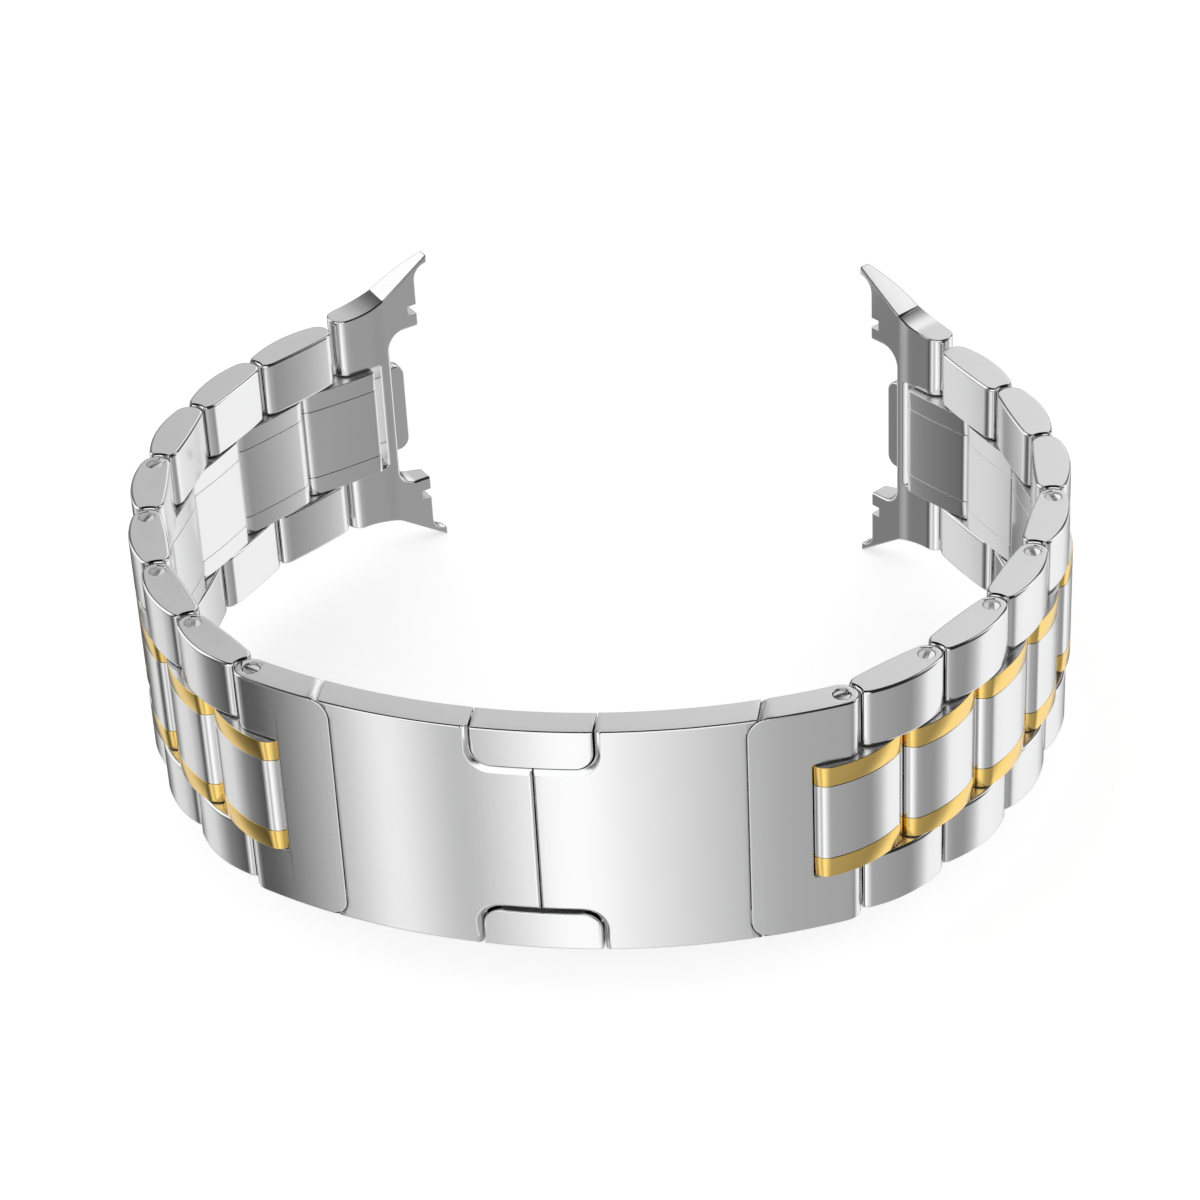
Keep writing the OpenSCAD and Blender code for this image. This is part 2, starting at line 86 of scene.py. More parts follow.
# The studio is a world of brightness levels by direction: a ring at the horizon, a dome over it and a dark
# cap on top. Azimuth in degrees, clockwise seen from above with 0 along +Y, and how bright it looks there.
# The levels are set against the photograph's view, and only glossy rays see them.
studio = {
    "ring": [(8, 0.45), (20, 0.72), (35, 0.9), (60, 0.94), (75, 0.93), (85, 0.7), (95, 0.55), (145, 0.65),
             (173, 0.91), (182, 1.0), (187, 1.0), (205, 0.68), (219, 0.97), (227, 0.78), (246, 0.28),
             (268, 0.5), (288, 0.83), (306, 0.84), (320, 0.5), (338, 0.15), (358, 0.13)],
    "dome": [(1, 0.9), (6, 1.0), (14, 0.9), (30, 0.5), (42, 0.2), (52, 0.2), (58, 1.0), (70, 1.0), (78, 0.4),
             (84, 0.15), (144, 0.12), (156, 1.0), (222, 1.0), (230, 0.35), (258, 0.35), (266, 1.0),
             (285, 1.0), (303, 1.0), (308, 0.2), (316, 0.3), (326, 0.5), (336, 0.65), (341, 0.77),
             (351, 0.8), (359, 0.88)],
    "fadeLow": -12, "fadeHigh": 14,
    "cap": 0.15, "capLow": 49.5, "capHigh": 52,
    "steelReflects": 0.82, "gamma": 2.2,
    "fill": 0.8, "backdrop": 1,
}
floorLook = {"size": 6, "paint": 0.85, "glow": 0.45}


def lightLevel(look):
    return (look ** studio["gamma"]) / studio["steelReflects"]


def grey(level):
    return (level, level, level, 1)


def fillRamp(ramp, stops):
    stops = sorted(stops)
    first, last = stops[0], stops[-1]
    share = (360 - last[0]) / (360 - last[0] + first[0])
    seam = last[1] + (first[1] - last[1]) * share
    stops = [(0, seam)] + [s for s in stops if s[0] > 0] + [(360, seam)]
    while len(ramp.elements) < len(stops):
        ramp.elements.new(0.5)
    for i in range(len(stops)):
        ramp.elements[i].position = stops[i][0] / 360
        ramp.elements[i].color = grey(lightLevel(stops[i][1]))


def link(tree, source, target):
    tree.links.new(source, target)


def setSocket(tree, socket, value):
    if isinstance(value, bpy.types.NodeSocket):
        link(tree, value, socket)
    else:
        socket.default_value = value


def mathNode(tree, operation, *values):
    node = tree.nodes.new("ShaderNodeMath")
    node.operation = operation
    for i, value in enumerate(values):
        setSocket(tree, node.inputs[i], value)
    return node.outputs[0]


# The colours of a mix node are its inputs 6 and 7 and its output 2
def colourMix(tree, factor, low, high):
    node = tree.nodes.new("ShaderNodeMix")
    node.data_type = "RGBA"
    setSocket(tree, node.inputs["Factor"], factor)
    setSocket(tree, node.inputs[6], low)
    setSocket(tree, node.inputs[7], high)
    return node.outputs[2]


def smoothStep(tree, value, low, high):
    node = tree.nodes.new("ShaderNodeMapRange")
    node.interpolation_type = "SMOOTHSTEP"
    setSocket(tree, node.inputs["Value"], value)
    setSocket(tree, node.inputs["From Min"], low)
    setSocket(tree, node.inputs["From Max"], high)
    return node.outputs[0]


def makeWorld():
    world = bpy.data.worlds.new("studio")
    bpy.context.scene.world = world
    world.use_nodes = True
    tree = world.node_tree
    tree.nodes.clear()
    out = tree.nodes.new("ShaderNodeOutputWorld")
    where = tree.nodes.new("ShaderNodeTexCoord")
    split = tree.nodes.new("ShaderNodeSeparateXYZ")
    link(tree, where.outputs["Generated"], split.inputs[0])
    angle = mathNode(tree, "ARCTAN2", split.outputs["X"], split.outputs["Y"])
    turn = mathNode(tree, "FRACT", mathNode(tree, "DIVIDE", angle, 2 * pi))
    levels = []
    for name in ("ring", "dome"):
        ramp = tree.nodes.new("ShaderNodeValToRGB")
        fillRamp(ramp.color_ramp, studio[name])
        link(tree, turn, ramp.inputs[0])
        levels.append(ramp.outputs["Color"])
    up = split.outputs["Z"]
    fade = smoothStep(tree, up, sin(radians(studio["fadeLow"])), sin(radians(studio["fadeHigh"])))
    cap = smoothStep(tree, up, sin(radians(studio["capLow"])), sin(radians(studio["capHigh"])))
    glossy = colourMix(tree, cap, colourMix(tree, fade, *levels), grey(lightLevel(studio["cap"])))
    path = tree.nodes.new("ShaderNodeLightPath")
    lit = colourMix(tree, path.outputs["Is Glossy Ray"], grey(studio["fill"]), glossy)
    seen = colourMix(tree, path.outputs["Is Camera Ray"], lit, grey(studio["backdrop"]))
    light = tree.nodes.new("ShaderNodeBackground")
    link(tree, seen, light.inputs["Color"])
    link(tree, light.outputs[0], out.inputs[0])


def makeFloor():
    bpy.ops.mesh.primitive_plane_add(size=floorLook["size"])
    floor = bpy.context.object
    floor.name = "floor"
    paint = bpy.data.materials.new("paleFloor")
    paint.use_nodes = True
    tree = paint.node_tree
    tree.nodes.clear()
    out = tree.nodes.new("ShaderNodeOutputMaterial")
    matt = tree.nodes.new("ShaderNodeBsdfDiffuse")
    matt.inputs["Color"].default_value = grey(floorLook["paint"])
    glow = tree.nodes.new("ShaderNodeEmission")
    path = tree.nodes.new("ShaderNodeLightPath")
    strength = mathNode(tree, "MULTIPLY", path.outputs["Is Camera Ray"], floorLook["glow"])
    link(tree, strength, glow.inputs["Strength"])
    both = tree.nodes.new("ShaderNodeAddShader")
    link(tree, matt.outputs[0], both.inputs[0])
    link(tree, glow.outputs[0], both.inputs[1])
    link(tree, both.outputs[0], out.inputs[0])
    floor.data.materials.append(paint)
    floor.visible_glossy = False


makeWorld()
makeFloor()
print("studio ready")


# Finishes. One grain group serves every metal: streaks along one direction, and fine pits
grainLook = {"streakDetail": 3, "pitScale": 9000, "pitDetail": 2, "roughen": 0.08, "bumpDistance": 0.00002}
# A face counts as level where its normal's height lies above these
levelFaces = {"from": 0.975, "to": 0.998}


def makeGrain():
    group = bpy.data.node_groups.new("metalGrain", "ShaderNodeTree")
    for name, kind, value in (("Stretch", "NodeSocketVector", (1, 1, 1)), ("Streaks", "NodeSocketFloat", 1),
                              ("Pits", "NodeSocketFloat", 1)):
        group.interface.new_socket(name, in_out="INPUT", socket_type=kind).default_value = value
    group.interface.new_socket("Height", in_out="OUTPUT", socket_type="NodeSocketFloat")
    start = group.nodes.new("NodeGroupInput")
    end = group.nodes.new("NodeGroupOutput")
    where = group.nodes.new("ShaderNodeTexCoord")
    stretch = group.nodes.new("ShaderNodeVectorMath")
    stretch.operation = "MULTIPLY"
    link(group, where.outputs["Object"], stretch.inputs[0])
    link(group, start.outputs["Stretch"], stretch.inputs[1])
    streaks = group.nodes.new("ShaderNodeTexNoise")
    streaks.inputs["Scale"].default_value = 1
    streaks.inputs["Detail"].default_value = grainLook["streakDetail"]
    link(group, stretch.outputs[0], streaks.inputs["Vector"])
    pits = group.nodes.new("ShaderNodeTexNoise")
    pits.inputs["Scale"].default_value = grainLook["pitScale"]
    pits.inputs["Detail"].default_value = grainLook["pitDetail"]
    link(group, where.outputs["Object"], pits.inputs["Vector"])
    heights = []
    for noise, share in ((streaks, "Streaks"), (pits, "Pits")):
        centred = mathNode(group, "SUBTRACT", noise.outputs[0], 0.5)
        heights.append(mathNode(group, "MULTIPLY", centred, start.outputs[share]))
    link(group, mathNode(group, "ADD", *heights), end.inputs["Height"])
    return group


grain = makeGrain()

# On level faces each metal has a roughness and bumps of its own, and the gold is steel there
steelColour = (0.82, 0.82, 0.825)
finishes = {
    "polishedSteel": {"colour": steelColour, "roughness": 0.13, "flatRoughness": 0.36,
                      "stretch": (300, 300, 300), "streaks": 0.2, "pits": 0.5, "bump": 0.02, "flatBump": 0.25},
    "brushedSteel": {"colour": steelColour, "roughness": 0.15, "flatRoughness": 0.34,
                     "stretch": (160, 160, 9000), "streaks": 0.7, "pits": 0.5, "bump": 0.26, "flatBump": 0.25},
    "innerSteel": {"colour": (0.7, 0.7, 0.7), "roughness": 0.3, "flatRoughness": 0.36,
                   "stretch": (200, 200, 5000), "streaks": 0.7, "pits": 0.3, "bump": 0.2, "flatBump": 0.2},
    "gold": {"colour": (0.95, 0.66, 0.2), "flatColour": steelColour, "roughness": 0.16, "flatRoughness": 0.3,
             "stretch": (300, 300, 300), "streaks": 0.3, "pits": 0.5, "bump": 0.03, "flatBump": 0.1},
    "pinSteel": {"colour": (0.8, 0.8, 0.81), "roughness": 0.2, "flatRoughness": 0.22,
                 "stretch": (300, 300, 300), "streaks": 0.3, "pits": 0.4, "bump": 0.05, "flatBump": 0.1},
}


def makeFinish(name, look):
    finish = bpy.data.materials.new(name)
    finish.use_nodes = True
    tree = finish.node_tree
    shader = tree.nodes["Principled BSDF"]
    shader.inputs["Metallic"].default_value = 1
    where = tree.nodes.new("ShaderNodeNewGeometry")
    split = tree.nodes.new("ShaderNodeSeparateXYZ")
    link(tree, where.outputs["Normal"], split.inputs[0])
    upright = mathNode(tree, "ABSOLUTE", split.outputs["Z"])
    flat = smoothStep(tree, upright, levelFaces["from"], levelFaces["to"])
    flatColour = look.get("flatColour", look["colour"])
    tone = colourMix(tree, flat, look["colour"] + (1,), flatColour + (1,))
    link(tree, tone, shader.inputs["Base Color"])
    texture = tree.nodes.new("ShaderNodeGroup")
    texture.node_tree = grain
    texture.inputs["Stretch"].default_value = look["stretch"]
    texture.inputs["Streaks"].default_value = look["streaks"]
    texture.inputs["Pits"].default_value = look["pits"]
    rough = mathNode(tree, "MULTIPLY_ADD", flat, look["flatRoughness"] - look["roughness"], look["roughness"])
    varied = mathNode(tree, "MULTIPLY_ADD", texture.outputs["Height"], grainLook["roughen"], rough)
    link(tree, varied, shader.inputs["Roughness"])
    bump = tree.nodes.new("ShaderNodeBump")
    bump.inputs["Distance"].default_value = grainLook["bumpDistance"]
    bumpSize = mathNode(tree, "MULTIPLY_ADD", flat, look["flatBump"] - look["bump"], look["bump"])
    link(tree, mathNode(tree, "MULTIPLY", texture.outputs["Height"], bumpSize), bump.inputs["Height"])
    link(tree, bump.outputs[0], shader.inputs["Normal"])
    return finish


finish = {name: makeFinish(name, look) for name, look in finishes.items()}
print("finishes ready")


treeSizes = {"merge": 1e-7, "drillSides": 46, "sharpAngle": 35, "rimSegments": 3, "flatWeight": 100}


def geometryNode(tree, kind, **inputs):
    node = tree.nodes.new(kind)
    for name, value in inputs.items():
        setSocket(tree, node.inputs[name.replace("_", " ")], value)
    return node


def newTree(name, sockets):
    tree = bpy.data.node_groups.new(name, "GeometryNodeTree")
    for socket, kind in (("Geometry", "Geometry"),) + sockets:
        tree.interface.new_socket(socket, in_out="INPUT", socket_type="NodeSocket" + kind)
    tree.interface.new_socket("Geometry", in_out="OUTPUT", socket_type="NodeSocketGeometry")
    return tree, tree.nodes.new("NodeGroupInput"), tree.nodes.new("NodeGroupOutput")


# A slab tree turns a flat outline into a solid between two heights and sets it on its hinge
def makeSlabTree():
    tree, start, end = newTree("slabOnHinge", (
        ("Low", "Float"), ("High", "Float"), ("Paired", "Bool"), ("Hinge", "Vector"), ("Turn", "Vector"),
        ("Finish", "Material")))
    low = geometryNode(tree, "ShaderNodeCombineXYZ", Z=start.outputs["Low"])
    base = geometryNode(tree, "GeometryNodeTransform", Geometry=start.outputs["Geometry"],
                        Translation=low.outputs[0])
    deep = mathNode(tree, "SUBTRACT", start.outputs["High"], start.outputs["Low"])
    raised = geometryNode(tree, "GeometryNodeExtrudeMesh", Mesh=base.outputs[0], Offset=(0, 0, 1),
                          Offset_Scale=deep, Individual=False)
    bottom = geometryNode(tree, "GeometryNodeFlipFaces", Mesh=base.outputs[0])
    joined = tree.nodes.new("GeometryNodeJoinGeometry")
    link(tree, raised.outputs["Mesh"], joined.inputs[0])
    link(tree, bottom.outputs[0], joined.inputs[0])
    solid = geometryNode(tree, "GeometryNodeMergeByDistance", Geometry=joined.outputs[0],
                         Distance=treeSizes["merge"])
    mirrored = geometryNode(tree, "GeometryNodeTransform", Geometry=solid.outputs[0], Scale=(1, 1, -1))
    below = geometryNode(tree, "GeometryNodeFlipFaces", Mesh=mirrored.outputs[0])
    choice = tree.nodes.new("GeometryNodeSwitch")
    choice.input_type = "GEOMETRY"
    link(tree, start.outputs["Paired"], choice.inputs["Switch"])
    link(tree, below.outputs[0], choice.inputs["True"])
    pair = tree.nodes.new("GeometryNodeJoinGeometry")
    link(tree, solid.outputs[0], pair.inputs[0])
    link(tree, choice.outputs[0], pair.inputs[0])
    smooth = geometryNode(tree, "GeometryNodeSetShadeSmooth", Geometry=pair.outputs[0], Shade_Smooth=True)
    placed = geometryNode(tree, "GeometryNodeTransform", Geometry=smooth.outputs[0],
                          Translation=start.outputs["Hinge"], Rotation=start.outputs["Turn"])
    real = geometryNode(tree, "GeometryNodeRealizeInstances", Geometry=placed.outputs[0])
    painted = geometryNode(tree, "GeometryNodeSetMaterial", Geometry=real.outputs[0],
                           Material=start.outputs["Finish"])
    link(tree, painted.outputs[0], end.inputs[0])
    return tree


# A bore tree drills a round hole down from the upper side face
def makeBoreTree():
    tree, start, end = newTree("screwBore", (("Centre", "Vector"), ("Radius", "Float"), ("Depth", "Float")))
    drill = geometryNode(tree, "GeometryNodeMeshCylinder", Vertices=treeSizes["drillSides"],
                         Radius=start.outputs["Radius"], Depth=start.outputs["Depth"])
    placed = geometryNode(tree, "GeometryNodeTransform", Geometry=drill.outputs[0],
                          Translation=start.outputs["Centre"])
    smooth = geometryNode(tree, "GeometryNodeSetShadeSmooth", Geometry=placed.outputs[0], Shade_Smooth=True)
    bored = tree.nodes.new("GeometryNodeMeshBoolean")
    bored.operation = "DIFFERENCE"
    bored.solver = "EXACT"
    bored.inputs["Self Intersection"].default_value = True
    link(tree, start.outputs["Geometry"], bored.inputs[0])
    link(tree, smooth.outputs[0], bored.inputs[1])
    link(tree, bored.outputs[0], end.inputs[0])
    return tree


# A rim tree writes how wide each sharp edge's rim is
def makeRimTree():
    tree, start, end = newTree("rimWidths", (("Rim", "Float"),))
    angle = tree.nodes.new("GeometryNodeInputMeshEdgeAngle")
    sharp = mathNode(tree, "GREATER_THAN", angle.outputs["Unsigned Angle"], radians(treeSizes["sharpAngle"]))
    stored = tree.nodes.new("GeometryNodeStoreNamedAttribute")
    stored.data_type = "FLOAT"
    stored.domain = "EDGE"
    stored.inputs["Name"].default_value = "bevel_weight_edge"
    link(tree, start.outputs["Geometry"], stored.inputs["Geometry"])
    link(tree, mathNode(tree, "MULTIPLY", start.outputs["Rim"], sharp), stored.inputs["Value"])
    link(tree, stored.outputs[0], end.inputs[0])
    return tree


slabTree = makeSlabTree()
boreTree = makeBoreTree()
rimTree = makeRimTree()


def addTree(piece, tree, values):
    modifier = piece.modifiers.new(tree.name, "NODES")
    modifier.node_group = tree
    ids = {item.name: item.identifier for item in tree.interface.items_tree if item.in_out == "INPUT"}
    for name, value in values.items():
        modifier[ids[name]] = value


# The edges' weights are their rims' widths in millimetres
def addBevel(piece):
    modifier = piece.modifiers.new("rim", "BEVEL")
    modifier.width = 1 * mm
    modifier.segments = treeSizes["rimSegments"]
    modifier.limit_method = "WEIGHT"
    modifier.use_clamp_overlap = False
    modifier.miter_outer = "MITER_ARC"


# Large faces stay flat and the bevels round off between them
def addWeights(piece):
    modifier = piece.modifiers.new("normals", "WEIGHTED_NORMAL")
    modifier.weight = treeSizes["flatWeight"]
    modifier.keep_sharp = True


def flatMesh(name, outlines):
    shape = bmesh.new()
    for outline in outlines:
        shape.faces.new([shape.verts.new((x * mm, y * mm, 0)) for x, y in outline])
    bmesh.ops.recalc_face_normals(shape, faces=shape.faces)
    for face in shape.faces:
        if face.normal.z < 0:
            face.normal_flip()
    mesh = bpy.data.meshes.new(name)
    shape.to_mesh(mesh)
    shape.free()
    return mesh


def bake(piece, name):
    bpy.context.view_layer.update()
    ready = piece.evaluated_get(bpy.context.evaluated_depsgraph_get())
    mesh = bpy.data.meshes.new_from_object(ready)
    bpy.data.objects.remove(piece)
    done = bpy.data.objects.new(name, mesh)
    bpy.context.scene.collection.objects.link(done)
    return done


def joined(pieces, name):
    bpy.ops.object.select_all(action="DESELECT")
    for piece in pieces:
        piece.select_set(True)
    bpy.context.view_layer.objects.active = pieces[0]
    if len(pieces) > 1:
        bpy.ops.object.join()
    pieces[0].name = name
    pieces[0].data.name = name
    return pieces[0]


def slab(name, mesh, low, high, hinge, turn, look, paired=True, rim=0.2, bore=None):
    piece = bpy.data.objects.new(name, mesh)
    bpy.context.scene.collection.objects.link(piece)
    addTree(piece, slabTree, {"Low": low * mm, "High": high * mm, "Paired": paired, "Hinge": hinge,
                              "Turn": turn, "Finish": finish[look]})
    addTree(piece, rimTree, {"Rim": rim})
    addBevel(piece)
    if bore:
        addTree(piece, boreTree, bore)
    addWeights(piece)
    return bake(piece, name)


# Links
linkSizes = {
    "halfWidth": 10, "sideIn": 5.1, "centreHalf": 5, "goldWidth": 1.7, "goldDeep": 0.9, "seam": 0.03,
    "sideLen": 5.8, "roundEnd": 1.25, "crown": 10.2, "innerCrown": 0.08, "centreTip": 2.9, "gap": 0.15,
    "sideRim": 0.26, "seamRim": 0.05, "arcSteps": 40, "crownSteps": 12,
    "pin": 0.5, "head": 0.65, "headGap": 0.06, "headSink": 0.08, "slot": 0.3, "slotDeep": 0.35, "slotTurn": 35,
    "boreDeep": 1.1, "pinEnd": 8.9, "endReach": 4.65, "count": 7, "firstScrew": 4,
    "pinRim": 0.08, "shankRim": 0.02, "headRim": 0.06, "discSteps": 48,
}
pitch = (hinges["right_link_6"] - hinges["right_link_7"]).length / mm
crownSpan = linkSizes["crown"] - linkSizes["roundEnd"]
crownY = crownSpan * cos(asin(linkSizes["sideLen"] / 2 / crownSpan))


def arc(centre, radius, start, stop, steps):
    return [(centre[0] + radius * cos(start + (stop - start) * i / steps),
             centre[1] + radius * sin(start + (stop - start) * i / steps)) for i in range(steps + 1)]


# Round near end at start, crowned outer face, round far end, flat inner face
def linkOutline(start):
    r, length, steps = linkSizes["roundEnd"], linkSizes["sideLen"], linkSizes["arcSteps"]
    lean = asin(length / 2 / (linkSizes["crown"] - r))
    points = arc((start, 0), r, pi / 2, 1.5 * pi - lean, steps // 2)
    crownCentre = (start + length / 2, crownY)
    points += arc(crownCentre, linkSizes["crown"], 1.5 * pi - lean, 1.5 * pi + lean, steps)[1:-1]
    points += arc((start + length, 0), r, 1.5 * pi + lean, 2.5 * pi, steps // 2)
    for i in range(1, linkSizes["crownSteps"]):
        share = i / (linkSizes["crownSteps"] / 2) - 1
        points.append((start + length / 2 * (1 - share), r + linkSizes["innerCrown"] * (1 - share * share)))
    return points


# What a round cutter leaves of an outline, or what it takes out
def trimmed(points, centre, radius, inside=False):
    sign = -1 if inside else 1
    far = [sign * (sqrt((x - centre[0]) ** 2 + (y - centre[1]) ** 2) - radius) for x, y in points]
    count = len(points)
    start = next(i for i in range(count) if far[i] >= 0 and far[i - 1] < 0)
    kept = []
    stop = start
    while far[stop % count] >= 0:
        kept.append(points[stop % count])
        stop += 1
    angles = []
    for a, b in (((stop - 1) % count, stop % count), (start - 1, start)):
        share = far[a] / (far[a] - far[b])
        x = points[a][0] + (points[b][0] - points[a][0]) * share - centre[0]
        y = points[a][1] + (points[b][1] - points[a][1]) * share - centre[1]
        angles.append(atan2(y, x))
    turn = (angles[1] - angles[0] + pi) % (2 * pi) - pi
    return kept + arc(centre, radius, angles[0], angles[0] + turn, linkSizes["arcSteps"] // 2)


centreStart = linkSizes["roundEnd"] - linkSizes["centreTip"]
crownMiddle = (centreStart + linkSizes["sideLen"] / 2, crownY)
socket = linkSizes["centreTip"] + linkSizes["gap"]
flatCutter = 1000
flatEnd = ((linkSizes["endReach"] + flatCutter, 0), flatCutter)
disc = arc((0, 0), linkSizes["pin"], 0, 2 * pi, linkSizes["discSteps"])[:-1]
headDisc = arc((0, 0), linkSizes["head"], 0, 2 * pi, linkSizes["discSteps"])[:-1]
slotAngle = asin(linkSizes["slot"] / 2 / linkSizes["head"])
headHalf = arc((0, 0), linkSizes["head"], slotAngle, pi - slotAngle, linkSizes["discSteps"] // 2)

sideOutline = linkOutline(pitch - linkSizes["sideLen"])
cup = linkSizes["roundEnd"] + linkSizes["gap"]
sideShape = flatMesh("outerPiece", [trimmed(sideOutline, (0, 0), cup)])
pinShape = flatMesh("pin", [disc])
headShape = flatMesh("head", [headDisc])
halvesShape = flatMesh("headHalves", [headHalf, [(-x, -y) for x, y in headHalf]])


def centreShapes(name, cutter):
    whole = trimmed(linkOutline(centreStart), *cutter)
    inner = linkSizes["crown"] - linkSizes["goldDeep"]
    shapes = {"Core": whole, "Edge": trimmed(whole, crownMiddle, inner, True),
              "Gold": trimmed(whole, crownMiddle, inner)}
    return [flatMesh(name + kind, [shape]) for kind, shape in shapes.items()]


linkShapes = centreShapes("centrePiece", ((pitch, 0), socket))
endShapes = centreShapes("endCentrePiece", flatEnd)


def facing(side, towards):
    angle = atan2(towards.y, towards.x)
    return Vector((pi if side == "left" else 0, 0, angle)), angle


# A hinge pin, with a slotted head at the upper side face where it is a screw
def makePin(name, at, angle, side, screw):
    s = linkSizes
    upright = Vector((0, 0, angle + radians(s["slotTurn"]) * (1 if side == "right" else -1)))
    layers = [(pinShape, -s["pinEnd"], s["pinEnd"], s["pinRim"])]
    if screw:
        top = s["halfWidth"] - s["headSink"]
        split = top - s["slotDeep"]
        layers.append((headShape, s["pinEnd"], split, s["shankRim"]))
        layers.append((halvesShape, split, top, s["headRim"]))
    return [slab(name, shape, low, high, at, upright, "pinSteel", False, rim)
            for shape, low, high, rim in layers]


def boreAt(at):
    s = linkSizes
    centre = at + Vector((0, 0, s["halfWidth"] * mm))
    return {"Centre": centre, "Radius": (s["head"] + s["headGap"]) * mm, "Depth": 2 * s["boreDeep"] * mm}


def finishPiece(parts, name, body, node):
    piece = joined(parts, name)
    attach(piece, body)
    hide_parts(node)


def makeCentre(side, body, shapes, at, turn, nodeStart):
    s = linkSizes
    split = s["centreHalf"] - s["goldWidth"]
    coreHalf, rim = split - s["seam"], s["seamRim"]
    core = slab("core", shapes[0], -coreHalf, coreHalf, at, turn, "polishedSteel", False, rim)
    edge = slab("edge", shapes[1], split, s["centreHalf"], at, turn, "polishedSteel", True, rim)
    gold = slab("gold", shapes[2], split, s["centreHalf"], at, turn, "gold", True, rim)
    finishPiece([core, edge], body + "_centrePiece", body, nodeStart + "_centre")
    finishPiece([gold], body + "_goldStrips", body, nodeStart + "_gold")


def makeLink(side, i):
    s = linkSizes
    body = f"{side}_link_{i}"
    at = hinges[body]
    far = hinges[f"{side}_link_{i - 1}" if i > 1 else f"{side}_end"]
    turn, angle = facing(side, far - at)
    screw = i >= s["firstScrew"]
    bore = boreAt(far) if screw else None
    parts = [slab("sides", sideShape, s["sideIn"], s["halfWidth"], at, turn, "polishedSteel", True,
                  s["sideRim"], bore)]
    parts += makePin("pin", far, angle, side, screw)
    finishPiece(parts, body + "_outerPieces", body, body + "_sides")
    makeCentre(side, body, linkShapes, at, turn, body)


# A solid between two heights of flat outlines, standing along Z, or along Y where they are front views.
# Pieces of the clasp are worked flat and bent afterwards, so their front outlines are unrolled here.
def prism(outlines, low, high, front=False, unroll=False, spread=0):
    shape = bmesh.new()
    for outline in outlines:
        rings = []
        for h in (low, high):
            points = widened(outline, spread * (high - h)) if spread else outline
            if front:
                points = [(unrolled(x, h) if unroll else x, h, z) for x, z in points]
            else:
                points = [(x, y, h) for x, y in points]
            rings.append([shape.verts.new(Vector(point) * mm) for point in points])
        shape.faces.new(rings[0])
        shape.faces.new(rings[1])
        for i in range(len(outline)):
            shape.faces.new((rings[0][i - 1], rings[0][i], rings[1][i], rings[1][i - 1]))
    bmesh.ops.recalc_face_normals(shape, faces=shape.faces)
    mesh = bpy.data.meshes.new("prism")
    shape.to_mesh(mesh)
    shape.free()
    solid = bpy.data.objects.new("prism", mesh)
    bpy.context.scene.collection.objects.link(solid)
    return solid


# An outline moved outwards all round by a width
def widened(outline, width):
    corners = range(len(outline))
    area = sum(outline[i - 1][0] * outline[i][1] - outline[i][0] * outline[i - 1][1] for i in corners)
    sign = 1 if area > 0 else -1
    moved = []
    for i in corners:
        here = Vector(outline[i])
        before = (here - Vector(outline[i - 1])).normalized()
        after = (Vector(outline[(i + 1) % len(outline)]) - here).normalized()
        out = Vector((before.y + after.y, -before.x - after.x)).normalized() * sign
        lean = out.dot(Vector((before.y, -before.x)) * sign)
        moved.append(tuple(here + out * width / lean))
    return moved


def unrolled(x, deep):
    r = claspSizes["radius"]
    return r * asin(x / (r - deep))


def bend(at):
    r = claspSizes["radius"] * mm
    return Vector(((r - at.y) * sin(at.x / r), r - (r - at.y) * cos(at.x / r), at.z))


def worked(piece, operation, tool):
    modifier = piece.modifiers.new("work", "BOOLEAN")
    modifier.operation = operation
    modifier.solver = "EXACT"
    modifier.object = tool
    result = bake(piece, piece.name)
    bpy.data.objects.remove(tool)
    return result


workSizes = {"merge": 0.002, "flatAngle": 0.5, "rimAngle": 28, "crispAngle": 13, "strips": 48,
             "stripWidth": 0.5, "stripShift": 0.37, "cutMerge": 1e-7}
# How far from a face, a round edge and a wall an edge's middle may be to count as on it, in millimetres
onFace, onRound, byWall = 0.01, 0.05, 0.1


# Rims on the edges of a worked solid: rimAt gives an edge's width from its middle, in millimetres
def rimmed(piece, name, look, place, rimAt, bent=False, crisp=workSizes["crispAngle"]):
    shape = bmesh.new()
    shape.from_mesh(piece.data)
    bmesh.ops.remove_doubles(shape, verts=shape.verts, dist=workSizes["merge"] * mm)
    if bent:
        angle = radians(workSizes["flatAngle"])
        bmesh.ops.dissolve_limit(shape, angle_limit=angle, verts=shape.verts, edges=shape.edges)
    weights = shape.edges.layers.float.new("bevel_weight_edge")
    for edge in shape.edges:
        if edge.calc_face_angle(0) > radians(workSizes["rimAngle"]):
            edge[weights] = rimAt((edge.verts[0].co + edge.verts[1].co) / 2 / mm)
        elif edge.calc_face_angle(0) > radians(crisp):
            edge.smooth = False
    for face in shape.faces:
        face.smooth = True
        face.material_index = 0
    shape.to_mesh(piece.data)
    shape.free()
    piece.data.materials.clear()
    piece.data.materials.append(finish[look])
    addBevel(piece)
    piece = bake(piece, name)
    if bent:
        curved(piece.data)
    piece.data.transform(place)
    addWeights(piece)
    return bake(piece, name)


# Rolls a flat worked mesh onto the clasp's curve, in strips narrow enough to look round
def curved(mesh):
    shape = bmesh.new()
    shape.from_mesh(mesh)
    w = workSizes
    for i in range(-w["strips"], w["strips"] + 1):
        everything = shape.verts[:] + shape.edges[:] + shape.faces[:]
        cut = (i + w["stripShift"]) * w["stripWidth"] * mm
        bmesh.ops.bisect_plane(shape, geom=everything, dist=w["cutMerge"], plane_co=(cut, 0, 0),
                               plane_no=(1, 0, 0))
    for vertex in shape.verts:
        vertex.co = bend(vertex.co)
    shape.to_mesh(mesh)
    shape.free()


